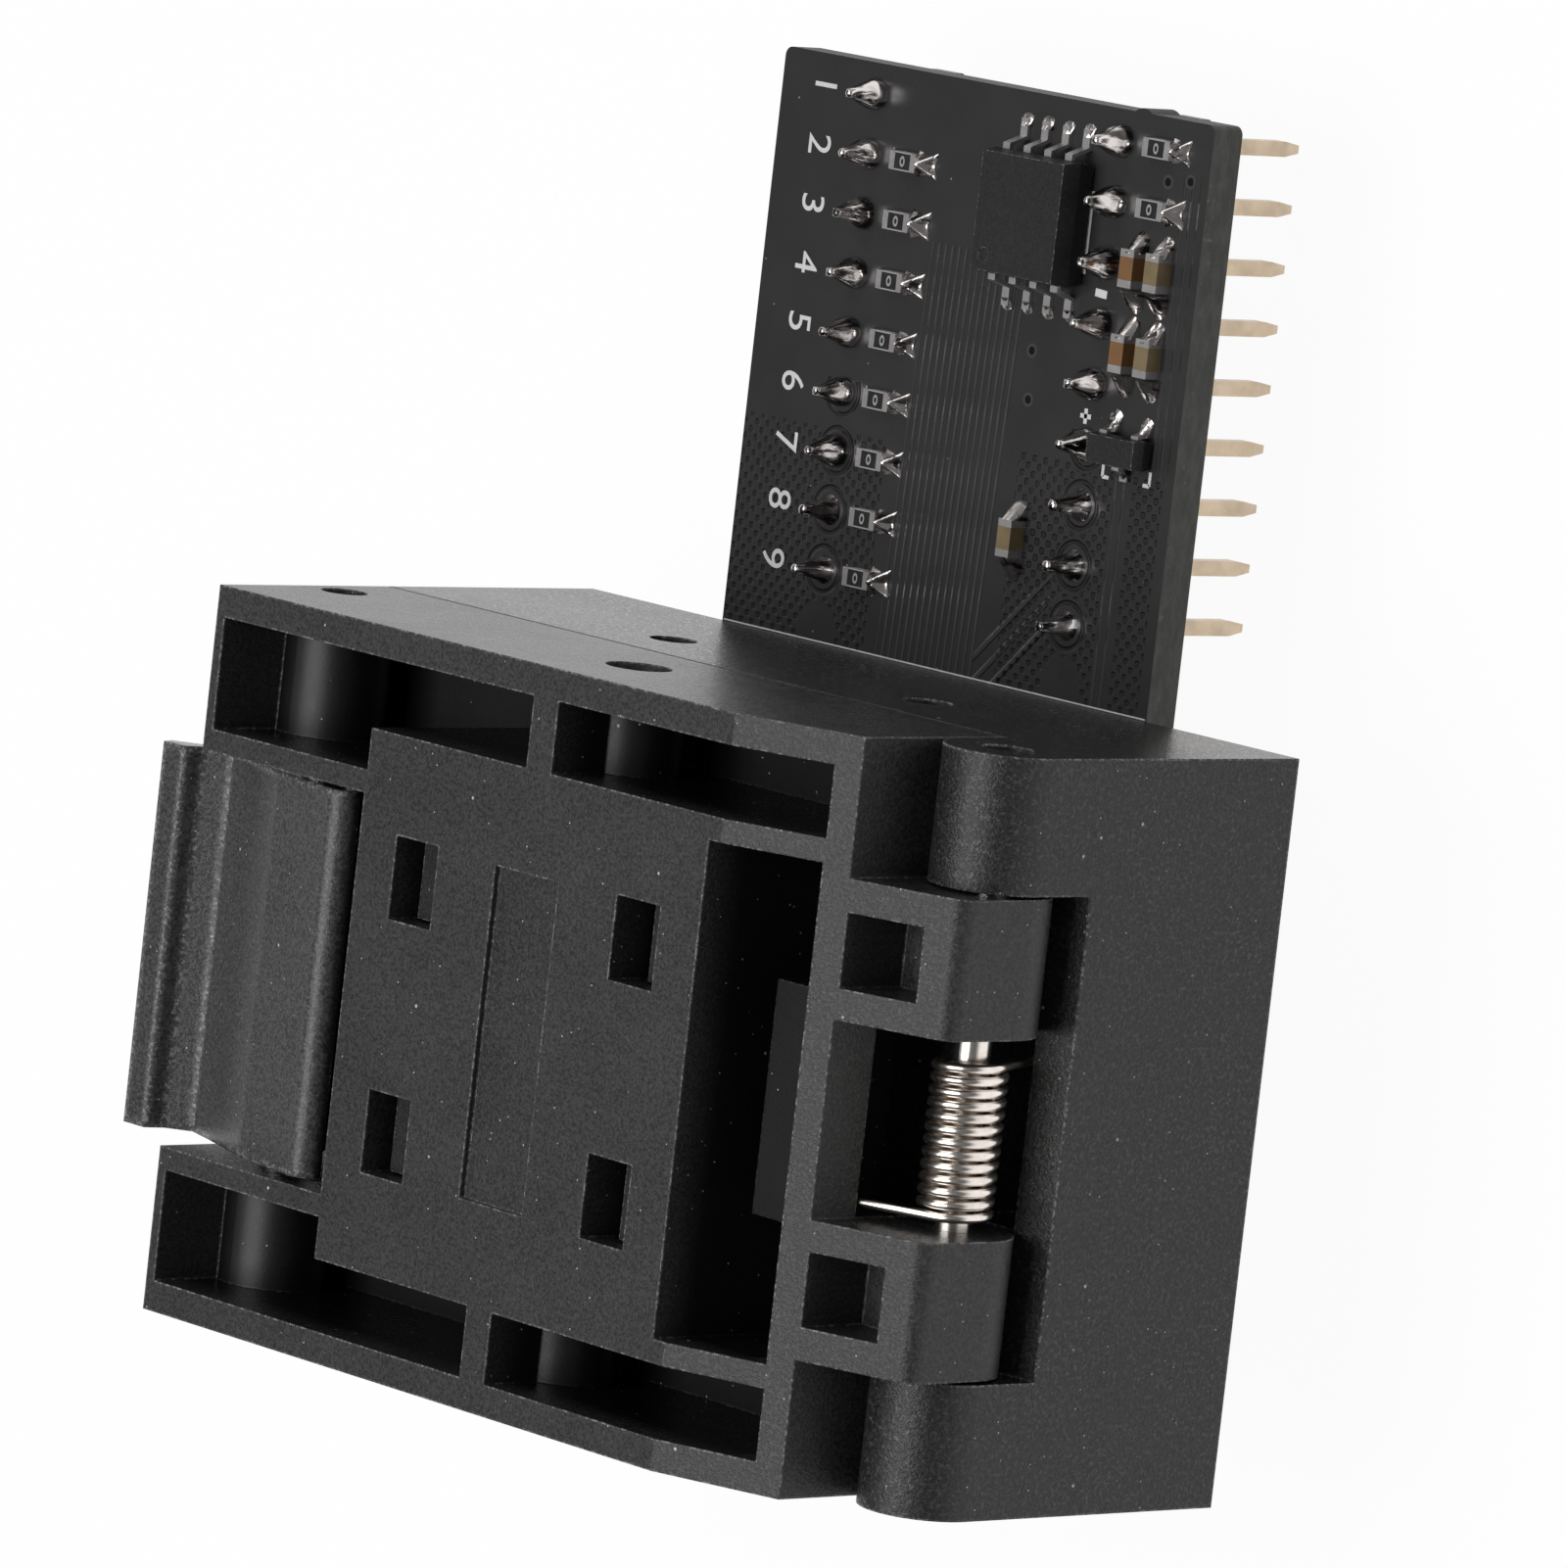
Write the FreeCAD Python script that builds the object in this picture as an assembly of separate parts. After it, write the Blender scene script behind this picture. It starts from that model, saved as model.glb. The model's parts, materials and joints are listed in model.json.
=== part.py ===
import FreeCAD, Part
import math
import os

os.makedirs("parts", exist_ok=True)
V = FreeCAD.Vector

# Socket outline, measured from the socket's centre on the board's top face
socket_half_width = 15.6
latch_end = -22.14
base_height = 11.5
lid_top = base_height + 9.44
lid_slope = 0.3
slope_start = 10.92
wall_side = 1.33
wall_end = 0.52
pocket_floor = base_height + 1.0

# Header rows, the standard grid that the adapter plugs into
pin_pitch = 2.54
pins_per_row = 9
row_spacing = 15.24
first_pin_y = socket_half_width + 3.14
last_pin_y = first_pin_y + pin_pitch * (pins_per_row - 1)
pin_side = 0.64
pin_tip_below = 5.95
pin_tip_above = 1.6
pin_taper = 0.9
pin_end = 0.34
strip_height = 2.5
strip_width = 2.5
strip_notch = 0.45
strip_end = 1.14

# Board
board_left = -13.6
board_right = 13.0
board_near = 2.4 - socket_half_width
board_far = last_pin_y + 1.34
board_thick = 1.6
board_corner = 0.4
tab_x = 8.7
tab_radius = 0.8
tab_proud = 0.18
drill_radius = 0.5
solder_radius = 0.72
solder_neck = 0.3
solder_height = 1.25

# Hinge
hinge_x = 19.52
hinge_z = base_height + 2.38
pin_radius = 0.75
pin_running_fit = 0.05
pin_press_fit = 0.01
base_knuckle_r = 2.62
lid_knuckle_r = 2.5
lid_knuckle_in = 4.1
lid_knuckle_out = 9.85
knuckle_side_gap = 0.13
hinge_gap = 0.1
open_angle = 100.0
stop_gap = 0.06
hinge_wall = 1.89
hinge_floor_gap = 0.35
knuckle_edge = 0.9
eye_depth = 0.6
eye_radius = 1.05
hinge_pin_half = 14.9

# Hinge spring
coil_radius = 1.4
coil_wire = 0.42
coil_pitch = 0.51
coil_turns = 13
coil_steps = 12
wire_sides = 6
coil_centre_y = -0.33
lid_leg_lift = 20.0
lid_leg_reach = 3.88
base_leg_reach = 4.6
base_leg_lean = 26.0
bay_half = 4.05
bay_floor = base_height - 3.9
leg_recess_top = base_height + 5.25
leg_recess_end = 12.6
leg_cover = 1.05
leg_cover_wall = 0.8

# Chip seat, in the middle of the four hook slots
seat_x = -0.65
chip_x = 14.0
chip_y = 18.0
chip_clear = 0.06
chip_ledge_z = base_height - 3.5
nest_window_x = 5.7
nest_window_y = 7.7
nest_wall = 1.25
nest_top = base_height - 0.6
nest_flange_low = base_height - 5.6
nest_flange_high = base_height - 4.55
nest_flange = 0.7
nest_gap = 0.1
nest_lift_gap = 0.05
nest_travel = 0.5
nest_lead = 0.5
island_gap = 0.3

# Contact block and contacts
block_top = base_height - 6.5
block_x = 9.5
block_y = 11.5
block_gap = 0.1
island_top = base_height - 4.2
contact_pitch = 1.0
contact_side = 0.4
contact_out = 0.35
contact_columns = 8
contact_rows = 12

# Nest springs
nest_spring_r = 0.75
nest_spring_wire = 0.25
nest_spring_turns = 3
nest_spring_x = 7.5
nest_spring_y = 9.3
nest_spring_seat = base_height - 8.9
spring_hole_gap = 0.2
nest_spring_cup = 0.45

# Pressure plate
pad_clear = 0.4
pad_bottom = base_height - 2.35
flange_bottom = base_height + 0.05
flange_top = base_height + 1.5
flange_x = 8.9
flange_y = 9.4
plate_gap = 0.3
plate_travel = 0.55
cavity_top = base_height + 2.9
ridge_half = 1.5
ridge_length = 7.5
hook_top = lid_top - 1.17
hook_bottom = lid_top - 2.64
hook_out = 7.85
hook_in = 5.8
hook_arm = 1.05
hook_side_gap = 0.12
slot_out = 8.37
slot_in = 5.67
slot_low = 3.6
slot_high = 7.12

# Cross pin that carries the pressure plate's push
press_x = -0.71
press_z = base_height + 4.5
press_radius = 1.2
press_half = 15.1
press_eye = 1.4
press_eye_depth = 0.9
press_boss = 2.2

# Lid pockets
pocket_a_left = -21.62
pocket_a_right = -1.41
pocket_a_step = -11.35
pocket_wide_y = 9.5
pocket_b_left = 0.15
pocket_b_right = 15.58
pocket_in_y = 11.27
pocket_c_left = 10.17
pocket_c_right = 15.55
pocket_c_half = 10.28
label_half_x = 2.0
label_half_y = 6.97
label_deep = 0.3
cup_left = 16.91
cup_right = 20.35
cup_low = 5.39
cup_high = 8.48
cup_floor = base_height + 4.3

# Latch
latch_x = -20.45
latch_z = base_height + 3.98
latch_pin_r = 1.0
latch_pin_half = 13.9
latch_fit = 0.05
latch_boss = 2.3
latch_hub = 1.9
latch_half = 8.25
latch_gap = 0.28
latch_bay_right = -11.4
latch_bay_floor = base_height + 2.5
latch_well_right = -17.4
latch_leg_out = latch_x - 1.85
latch_leg_in = latch_x - 0.45
latch_foot = base_height - 6.3
latch_nose = 1.0
catch_bottom = base_height - 4.75
catch_gap = 0.15
catch_recess = 1.4
catch_floor = base_height - 8.7
latch_spring_x = -14.9
latch_spring_y = 5.0
latch_spring_r = 0.9
latch_spring_wire = 0.3
latch_spring_turns = 5
latch_spring_seat = base_height + 1.6
lever_end_r = 0.75
pad_end_x = latch_bay_right - 2.5
pad_end_z = lid_top - 1.04

# Lever outline, measured from its pin
lip_out = 5.75
lip_low = 3.82
lip_top = 4.42
lip_edge = 0.2
lip_in = 4.15
lip_root_z = 3.47
groove_x = 3.02
groove_z = 2.66
ramp_start_x = 1.4
ramp_start_z = 3.16
pad_start_x = 2.25
pad_start_z = 4.46
underside_x = 2.85
underside_z = 2.52
shoulder_z = 1.52

# Side holes of the base and its fixings
side_hole_r = 1.03
side_hole_deep = 2.5
side_hole_z = base_height - 3.8
side_hole_x = 8.0
screw_x = 11.7
screw_y = 11.5
screw_r = 0.8
screw_deep = 4.0
screw_head_r = 1.35
screw_head = 0.9
screw_slot = 0.35
screw_gap = 0.1
peg_r = 0.75
peg_gap = 0.08
peg_long = 1.4

# Small parts on the board
chip_body_x = 5.2
chip_body_y = 5.25
chip_cx = 3.76
chip_cy = first_pin_y + 16.6
chip_height = 1.85
chip_stand = 0.15
chip_draft = 0.13
dot_inset = 0.8
dot_radius = 0.3
dot_deep = 0.06
lead_pitch = 1.27
lead_wide = 0.42
lead_thick = 0.2
lead_span = 3.95
lead_foot = 0.75
lead_count = 4
tran_cx = 10.15
tran_cy = first_pin_y + 7.7
tran_x = 2.9
tran_y = 1.3
tran_height = 1.15
tran_stand = 0.08
tran_pitch = 1.9
tran_span = 1.25
tran_foot = 0.3
part_long = 1.6
part_wide = 0.8
part_end = 0.32
resistor_high = 0.45
capacitor_high = 0.8
left_resistor_x = -5.1
right_resistor_x = 10.1
left_resistors = 8
right_resistors = 2
capacitor_pair_x = 1.5
capacitor_pair_left = 9.5
capacitor_pair_ys = (first_pin_y + 15.25, first_pin_y + 11.7)
single_capacitor = (4.05, first_pin_y + 3.15)

# The part's own origin: the middle of the header grid, where its bars seat
row_half = row_spacing / 2
origin_shift = V(0, -(first_pin_y + last_pin_y) / 2, board_thick + strip_height)

base_end = hinge_x + base_knuckle_r
lid_end = hinge_x - base_knuckle_r - hinge_gap
strip_bottom = -board_thick - strip_height
cavity_x = flange_x + plate_gap
cavity_y = flange_y + plate_gap
nest_cavity_x = chip_x / 2 + chip_clear
nest_cavity_y = chip_y / 2 + chip_clear
nest_x = nest_cavity_x + nest_wall
nest_y = nest_cavity_y + nest_wall
pin_ys = [first_pin_y + pin_pitch * k for k in range(pins_per_row)]


def box(x0, x1, y0, y1, z0, z1):
    return Part.makeBox(x1 - x0, y1 - y0, z1 - z0, V(x0, y0, z0))


def centred(cx, half_x, half_y, z0, z1):
    return box(cx - half_x, cx + half_x, -half_y, half_y, z0, z1)


def rod_y(x, z, radius, y0, y1):
    return Part.makeCylinder(radius, y1 - y0, V(x, y0, z), V(0, 1, 0))


def rod_z(x, y, radius, z0, z1):
    return Part.makeCylinder(radius, z1 - z0, V(x, y, z0))


def profile_y(points, y0, y1):
    face = Part.Face(Part.makePolygon([V(x, y0, z) for x, z in points + points[:1]]))
    return face.extrude(V(0, y1 - y0, 0))


def oblong_ring(x, y, z, half_x, half_y):
    corner = [V(x + sx * half_x, y + sy * half_y, z) for sx, sy in ((-1, -1), (1, -1), (1, 1), (-1, 1))]
    return Part.makePolygon(corner + corner[:1])


def mirrored(shape):
    return shape.mirror(V(0, 0, 0), V(0, 1, 0))


def both_sides(shape):
    return [shape, mirrored(shape)]


def slope_z(x):
    return lid_top - lid_slope * (x - slope_start)


def edges_along(shape, direction, test):
    found = []
    for edge in shape.Edges:
        if edge.Curve.TypeId != "Part::GeomLine":
            continue
        line = edge.Vertexes[1].Point.sub(edge.Vertexes[0].Point)
        if abs(line.normalize().dot(direction)) > 0.999 and test(edge.CenterOfMass):
            found.append(edge)
    return found


def export(name, solids):
    moved = [solid.translated(origin_shift) for solid in solids]
    shape = moved[0] if len(moved) == 1 else Part.makeCompound(moved)
    shape.exportStep("parts/" + name + ".step")


# Points of a coil round the Z axis, with straight legs leaving its two ends where asked
def coil_points(radius, pitch, turns, start, leg_in, leg_out):
    steps = int(turns * coil_steps)
    points = []
    for k in range(steps + 1):
        turn = math.radians(start + 360 * turns * k / steps)
        points.append(V(radius * math.cos(turn), radius * math.sin(turn), pitch * turns * k / steps))
    if leg_in > 0:
        turn = math.radians(start)
        points.insert(0, points[0] + V(math.sin(turn), -math.cos(turn), 0) * leg_in)
    if leg_out > 0:
        turn = math.radians(start + 360 * turns)
        points.append(points[-1] + V(-math.sin(turn), math.cos(turn), 0) * leg_out)
    return points


# Wire bent through the points, as one chain of short straight lengths
def bent_wire(points, wire):
    rings = []
    for k, point in enumerate(points):
        way = points[min(k + 1, len(points) - 1)] - points[max(k - 1, 0)]
        side = way.cross(V(0, 0, 1)).normalize()
        up = side.cross(way).normalize()
        corner = []
        for i in range(wire_sides):
            turn = 2 * math.pi * i / wire_sides
            corner.append(point + (side * math.cos(turn) + up * math.sin(turn)) * (wire / 2))
        rings.append(Part.makePolygon(corner + corner[:1]))
    return Part.makeLoft(rings, True, True)


def adapter_board():
    board = box(board_left, board_right, board_near, board_far, -board_thick, 0)
    corners = edges_along(board, V(0, 0, 1), lambda c: c.y > 0)
    board = board.makeFillet(board_corner, corners)
    board = board.fuse(rod_z(tab_x, board_far + tab_proud - tab_radius, tab_radius, -board_thick, 0))
    cuts = []
    for x in (-row_half, row_half):
        cuts += [rod_z(x, y, drill_radius, -board_thick, 0) for y in pin_ys]
    for x, y in screw_places():
        cuts.append(rod_z(x, y, screw_r + screw_gap, -board_thick, 0))
    for x in (-screw_x, screw_x):
        cuts.append(rod_z(x, 0, peg_r + peg_gap, -board_thick, 0))
    return [board.cut(Part.makeCompound(cuts))]


def screw_places():
    return [(x, y) for x in (-screw_x, screw_x) for y in (-screw_y, screw_y)]


def header_strip(row_x):
    half = strip_width / 2
    notches = [pin_ys[0] - strip_end] + [y + pin_pitch / 2 for y in pin_ys[:-1]] + [pin_ys[-1] + strip_end]
    right = []
    for low, high in zip(notches, notches[1:]):
        right.append(V(row_x + half - strip_notch, low, strip_bottom))
        right.append(V(row_x + half, low + strip_notch, strip_bottom))
        right.append(V(row_x + half, high - strip_notch, strip_bottom))
    right.append(V(row_x + half - strip_notch, notches[-1], strip_bottom))
    left = [V(2 * row_x - p.x, p.y, p.z) for p in reversed(right)]
    outline = Part.Face(Part.makePolygon(right + left + right[:1]))
    bar = outline.extrude(V(0, 0, strip_height))
    side = pin_side / 2
    holes = [box(row_x - side, row_x + side, y - side, y + side, strip_bottom, -board_thick) for y in pin_ys]
    return [bar.cut(Part.makeCompound(holes))]


# Square pin tapered to both ends
def header_pin(x, y):
    low = strip_bottom - pin_tip_below
    side = pin_side / 2
    half = [(pin_end / 2, low), (side, low + pin_taper), (side, 0), (pin_end / 2, pin_tip_above)]
    slab = profile_y(half + [(-x_out, z) for x_out, z in reversed(half)], -side, side)
    return slab.common(slab.rotated(V(0, 0, 0), V(0, 0, 1), 90)).translated(V(x, y, 0))


def header_pins(row_x):
    return [header_pin(row_x, y) for y in pin_ys]


def solder_joint(x, y):
    cone = Part.makeCone(solder_radius, solder_neck, solder_height, V(x, y, 0))
    return cone.cut(header_pin(x, y))


def solder_joints():
    return [solder_joint(x, y) for x in (-row_half, row_half) for y in pin_ys]


# Moulded body with a parting line half way up and drafted sides
def moulded_body(cx, cy, long_x, long_y, stand, height, draft):
    middle = stand + (height - stand) / 2
    wires = []
    for z, inset in ((stand, draft), (middle, 0), (height, draft)):
        wires.append(oblong_ring(cx, cy, z, long_x / 2 - inset, long_y / 2 - inset))
    return Part.makeLoft(wires, True, True)


def gull_lead(cx, body_y, tip_y, wide, shoulder_z, thick, foot):
    sign = 1 if tip_y > body_y else -1
    knee = tip_y - sign * foot
    out = body_y + sign * (abs(knee - body_y) * 0.45)
    top = [(body_y, shoulder_z + thick), (out, shoulder_z + thick), (knee, thick), (tip_y, thick)]
    back = sign * thick * 0.5
    low = [(tip_y, 0), (knee - back, 0), (out - back, shoulder_z), (body_y, shoulder_z)]
    points = [V(cx - wide / 2, y, z) for y, z in top + low]
    return Part.Face(Part.makePolygon(points + points[:1])).extrude(V(wide, 0, 0))


def interface_chip():
    body = moulded_body(chip_cx, chip_cy, chip_body_x, chip_body_y, chip_stand, chip_height, chip_draft)
    dot_x = chip_cx - chip_body_x / 2 + dot_inset
    dot_y = chip_cy - chip_body_y / 2 + dot_inset
    dot = rod_z(dot_x, dot_y, dot_radius, chip_height - dot_deep, chip_height)
    return [body.cut(dot)]


def interface_chip_leads():
    leads = []
    shoulder = chip_stand + (chip_height - chip_stand) / 2 - lead_thick / 2
    for sign in (-1, 1):
        for k in range(lead_count):
            x = chip_cx + lead_pitch * (k - (lead_count - 1) / 2)
            body_y = chip_cy + sign * chip_body_y / 2
            tip_y = chip_cy + sign * lead_span
            leads.append(gull_lead(x, body_y, tip_y, lead_wide, shoulder, lead_thick, lead_foot))
    return leads


def transistor():
    return [moulded_body(tran_cx, tran_cy, tran_x, tran_y, tran_stand, tran_height, chip_draft / 2)]


def transistor_leads():
    shoulder = tran_stand + (tran_height - tran_stand) / 2 - lead_thick / 2
    leads = []
    for x, sign in ((-tran_pitch / 2, 1), (tran_pitch / 2, 1), (0, -1)):
        body_y = tran_cy + sign * tran_y / 2
        tip_y = tran_cy + sign * tran_span
        leads.append(gull_lead(tran_cx + x, body_y, tip_y, lead_wide, shoulder, lead_thick, tran_foot))
    return leads


def resistor_places():
    left = [(left_resistor_x, y) for y in pin_ys[:left_resistors]]
    right = [(right_resistor_x, y) for y in pin_ys[-right_resistors:]]
    return left + right


def chip_middle(x, y, along_x, high):
    hx = part_long / 2 - part_end if along_x else part_wide / 2
    hy = part_wide / 2 if along_x else part_long / 2 - part_end
    return box(x - hx, x + hx, y - hy, y + hy, 0, high)


def chip_ends(x, y, along_x, high):
    ends = []
    for sign in (-1, 1):
        mid = sign * (part_long - part_end) / 2
        cx = x + (mid if along_x else 0)
        cy = y + (0 if along_x else mid)
        hx = part_end / 2 if along_x else part_wide / 2
        hy = part_wide / 2 if along_x else part_end / 2
        ends.append(box(cx - hx, cx + hx, cy - hy, cy + hy, 0, high))
    return ends


def link_resistors():
    return [chip_middle(x, y, True, resistor_high) for x, y in resistor_places()]


def resistor_terminals():
    return [end for x, y in resistor_places() for end in chip_ends(x, y, True, resistor_high)]


def capacitor_places():
    pairs = [(capacitor_pair_left + dx, y) for y in capacitor_pair_ys for dx in (0, capacitor_pair_x)]
    return pairs + [single_capacitor]


def capacitors():
    return [chip_middle(x, y, False, capacitor_high) for x, y in capacitor_places()]


def capacitor_terminals():
    return [end for x, y in capacitor_places() for end in chip_ends(x, y, False, capacitor_high)]


# Top of the base's hinge wall, sloped so that the open lid's knuckles lie on it
def hinge_stop_z(x):
    lean = math.radians(open_angle - 90)
    drop = lid_knuckle_r + stop_gap
    return hinge_z - (drop + (x - hinge_x) * math.sin(lean)) / math.cos(lean)


def base_housing():
    half = socket_half_width
    body = box(latch_end, base_end, -half, half, 0, base_height)
    ear_in = lid_knuckle_out + knuckle_side_gap
    ear_column = box(hinge_x - base_knuckle_r, base_end, ear_in, half, base_height, hinge_z)
    ear = rod_y(hinge_x, hinge_z, base_knuckle_r, ear_in, half).fuse(ear_column)
    ear = ear.cut(rod_y(hinge_x, hinge_z, pin_radius + pin_press_fit, ear_in, half))
    ear = ear.cut(rod_y(hinge_x, hinge_z, eye_radius, half - eye_depth, half))
    body = body.fuse(both_sides(ear)).removeSplitter()
    wall_in = base_end - hinge_wall
    floor = hinge_z - lid_knuckle_r - hinge_floor_gap
    lid_side = hinge_x - base_knuckle_r
    gap = [(lid_side, floor), (wall_in, floor), (wall_in, hinge_stop_z(wall_in)),
           (base_end, hinge_stop_z(base_end)), (base_end, base_height), (lid_side, base_height)]
    cuts = [profile_y(gap, -ear_in, ear_in)]
    cuts.append(box(lid_side, wall_in, -bay_half, bay_half, bay_floor, floor))
    block_pocket = block_gap + block_x
    cuts.append(centred(seat_x, block_pocket, block_y + block_gap, 0, block_top + block_gap / 2))
    flange_x_half = nest_x + nest_flange + nest_gap
    flange_y_half = nest_y + nest_flange + nest_gap
    cuts.append(centred(seat_x, flange_x_half, flange_y_half, block_top, nest_flange_high + nest_lift_gap))
    cuts.append(centred(seat_x, nest_x + nest_gap, nest_y + nest_gap, nest_flange_high, base_height))
    catch_x = latch_leg_in + catch_gap
    side = latch_half + latch_gap
    cuts.append(box(latch_end, catch_x, -side, side, catch_floor, base_height))
    cuts.append(box(latch_end, catch_x + catch_recess, -side, side, catch_floor, catch_bottom))
    for x in (-side_hole_x, side_hole_x):
        cuts += both_sides(rod_y(x, side_hole_z, side_hole_r, half - side_hole_deep, half))
    for x, y in screw_places():
        cuts.append(rod_z(x, y, screw_r, 0, screw_deep))
    body = body.cut(Part.makeCompound(cuts))
    pegs = [rod_z(x, 0, peg_r, -peg_long, 0) for x in (-screw_x, screw_x)]
    return [body.fuse(pegs)]


def base_screws():
    screws = []
    for x, y in screw_places():
        head = rod_z(x, y, screw_head_r, -board_thick - screw_head, -board_thick)
        head = head.cut(box(x - screw_head_r, x + screw_head_r, y - screw_slot / 2, y + screw_slot / 2,
                            -board_thick - screw_head, -board_thick - screw_head / 2))
        screws.append(head.fuse(rod_z(x, y, screw_r, -board_thick, screw_deep)))
    return screws


def contact_places():
    places = []
    for i in range(contact_columns):
        for j in range(contact_rows):
            x = seat_x + contact_pitch * (i - (contact_columns - 1) / 2)
            places.append((x, contact_pitch * (j - (contact_rows - 1) / 2)))
    return places


def nest_spring_places():
    return [(seat_x + sx * nest_spring_x, sy * nest_spring_y) for sx in (-1, 1) for sy in (-1, 1)]


def contact_block():
    flange = centred(seat_x, block_x, block_y, 0, block_top)
    island = centred(seat_x, nest_window_x - island_gap, nest_window_y - island_gap, block_top, island_top)
    side = contact_side / 2
    cuts = [box(x - side, x + side, y - side, y + side, 0, island_top) for x, y in contact_places()]
    cuts += [rod_z(x, y, nest_spring_r + nest_spring_wire / 2 + spring_hole_gap, nest_spring_seat, block_top)
             for x, y in nest_spring_places()]
    return [flange.fuse(island).cut(Part.makeCompound(cuts))]


def contact_probe(x, y):
    side = contact_side / 2
    neck = island_top + contact_out - side
    shank = box(x - side, x + side, y - side, y + side, 0, neck)
    foot = oblong_ring(x, y, neck, side, side)
    tip = Part.makeLoft([foot, Part.Vertex(x, y, island_top + contact_out)], True, True)
    return shank.fuse(tip).removeSplitter()


def contact_probes():
    return [contact_probe(x, y) for x, y in contact_places()]


def nest_plate():
    body = centred(seat_x, nest_x, nest_y, nest_flange_low, nest_top)
    flange = centred(seat_x, nest_x + nest_flange, nest_y + nest_flange, nest_flange_low, nest_flange_high)
    plate = body.fuse(flange).removeSplitter()
    cavity = centred(seat_x, nest_cavity_x, nest_cavity_y, chip_ledge_z, nest_top)
    low = oblong_ring(seat_x, 0, nest_top - nest_lead, nest_cavity_x, nest_cavity_y)
    high = oblong_ring(seat_x, 0, nest_top, nest_cavity_x + nest_lead, nest_cavity_y + nest_lead)
    mouth = Part.makeLoft([low, high], True, True)
    window = centred(seat_x, nest_window_x, nest_window_y, nest_flange_low, chip_ledge_z)
    cups = [rod_z(x, y, nest_spring_r + nest_spring_wire / 2 + spring_hole_gap, nest_flange_low,
                  nest_flange_low + nest_spring_cup) for x, y in nest_spring_places()]
    return [plate.cut(Part.makeCompound([cavity, window] + cups)).cut(mouth)]


def standing_spring(x, y, z0, z1, radius, wire, turns):
    pitch = (z1 - z0 - wire) / turns
    spring = bent_wire(coil_points(radius, pitch, turns, 0, 0, 0), wire)
    return spring.translated(V(x, y, z0 + wire / 2))


def nest_springs():
    top = nest_flange_low + nest_spring_cup
    return [standing_spring(x, y, nest_spring_seat, top, nest_spring_r, nest_spring_wire, nest_spring_turns)
            for x, y in nest_spring_places()]


def side_slots(z0, z1, inner, outer):
    slots = []
    for sx in (-1, 1):
        x0, x1 = sorted((seat_x + sx * inner, seat_x + sx * outer))
        slots += both_sides(box(x0, x1, slot_low, slot_high, z0, z1))
    return slots


def pressure_plate():
    pad = centred(seat_x, nest_cavity_x - pad_clear, nest_cavity_y - pad_clear, pad_bottom, flange_bottom)
    flange = centred(seat_x, flange_x, flange_y, flange_bottom, flange_top)
    ridge_top = press_z - press_radius - plate_travel - 0.02
    ridge = centred(press_x, ridge_half, ridge_length, flange_top, ridge_top)
    plate = pad.fuse([flange, ridge]).removeSplitter()
    hooks = []
    for sx in (-1, 1):
        out = seat_x + sx * hook_out
        arm = out - sx * hook_arm
        nose = seat_x + sx * hook_in
        outline = [(out, flange_top), (arm, flange_top), (arm, hook_bottom), (nose, hook_bottom),
                   (nose, hook_bottom + 0.5), (arm, hook_top), (out, hook_top)]
        hooks += both_sides(profile_y(outline, slot_low + hook_side_gap, slot_high - hook_side_gap))
    return [plate.fuse(hooks)]


def lid_knuckle():
    tip = hinge_x + lid_knuckle_r
    outline = [(lid_end - 1, base_height), (hinge_x, base_height), (hinge_x, hinge_z), (tip, hinge_z),
               (tip, slope_z(tip)), (lid_end - 1, slope_z(lid_end - 1))]
    knuckle = profile_y(outline, lid_knuckle_in, lid_knuckle_out)
    upper = edges_along(knuckle, V(0, 1, 0), lambda c: c.x > tip - 0.1 and c.z > hinge_z + 1)
    knuckle = knuckle.makeFillet(knuckle_edge, upper)
    knuckle = knuckle.fuse(rod_y(hinge_x, hinge_z, lid_knuckle_r, lid_knuckle_in, lid_knuckle_out))
    bore = pin_radius + pin_running_fit
    knuckle = knuckle.cut(rod_y(hinge_x, hinge_z, bore, lid_knuckle_in, lid_knuckle_out))
    return knuckle.cut(box(cup_left, cup_right, cup_low, cup_high, cup_floor, lid_top))


# One side's deep pockets with the bosses of the latch pin and the cross pin left standing
def lid_pockets():
    outer = socket_half_width - wall_side
    narrow = box(pocket_a_left, pocket_a_right, pocket_in_y, outer, pocket_floor, lid_top)
    wide = box(pocket_a_left, pocket_a_step, pocket_wide_y, outer, pocket_floor, lid_top)
    second = box(pocket_b_left, pocket_b_right, pocket_in_y, outer, pocket_floor, lid_top)
    bosses = [rod_y(latch_x, latch_z, latch_boss, pocket_wide_y, outer),
              rod_y(press_x, press_z, press_boss, pocket_in_y, outer)]
    return narrow.fuse([wide, second]).cut(bosses)


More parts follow.
